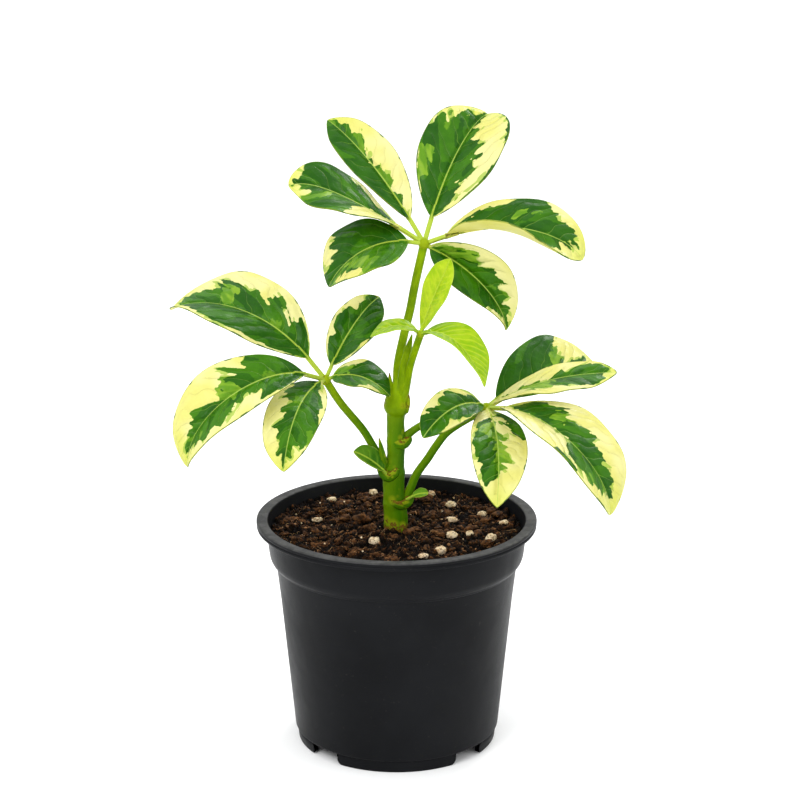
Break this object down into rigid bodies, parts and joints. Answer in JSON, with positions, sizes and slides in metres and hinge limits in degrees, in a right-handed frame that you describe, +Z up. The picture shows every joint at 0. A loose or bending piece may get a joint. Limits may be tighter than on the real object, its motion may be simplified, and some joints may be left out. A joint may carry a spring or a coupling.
{
  "type": "potted umbrella plant",
  "caption": "Young dwarf umbrella plant with variegated finger-like leaves, rooted in a round black nursery pot.",
  "frame": {"origin": "middle of the pot's footprint, on the surface that the pot's foot ring stands on", "axes": "+Z up along the pot's axis and the trunk; -Y is the plant's front, as in the picture; +X is to the right as seen from the front"},
  "size_m": [0.1724, 0.108, 0.2439],
  "materials": {
    "pot_plastic": "satin",
    "soil": "matte",
    "perlite": "matte",
    "stem": "satin",
    "leaf": "satin",
    "young_leaf": "satin"
  },
  "bodies": {
    "root": {"pot": "pot_plastic", "soil": "soil", "perlite_01": "perlite", "perlite_02": "perlite", "perlite_03": "perlite", "perlite_04": "perlite", "perlite_05": "perlite", "perlite_06": "perlite", "perlite_07": "perlite", "perlite_08": "perlite", "perlite_09": "perlite", "perlite_10": "perlite", "perlite_11": "perlite", "perlite_12": "perlite", "perlite_13": "perlite", "perlite_14": "perlite", "trunk": "stem", "petiole_top": "stem", "petiole_young": "stem", "petiole_left": "stem", "petiole_right": "stem", "side_shoot": "stem", "leaflet_top_1": "leaf", "leaflet_top_2": "leaf", "leaflet_top_3": "leaf", "leaflet_top_4": "leaf", "leaflet_top_5": "leaf", "leaflet_top_6": "leaf", "leaflet_left_1": "leaf", "leaflet_left_2": "leaf", "leaflet_left_3": "leaf", "leaflet_left_4": "leaf", "leaflet_left_5": "leaf", "leaflet_right_1": "leaf", "leaflet_right_2": "leaf", "leaflet_right_3": "leaf", "leaflet_right_4": "leaf", "leaflet_right_5": "leaf", "leaflet_young_1": "young_leaf", "leaflet_young_2": "young_leaf", "leaflet_young_3": "young_leaf", "small_leaf_left": "leaf", "small_leaf_right": "leaf"}
  },
  "joints": []
}
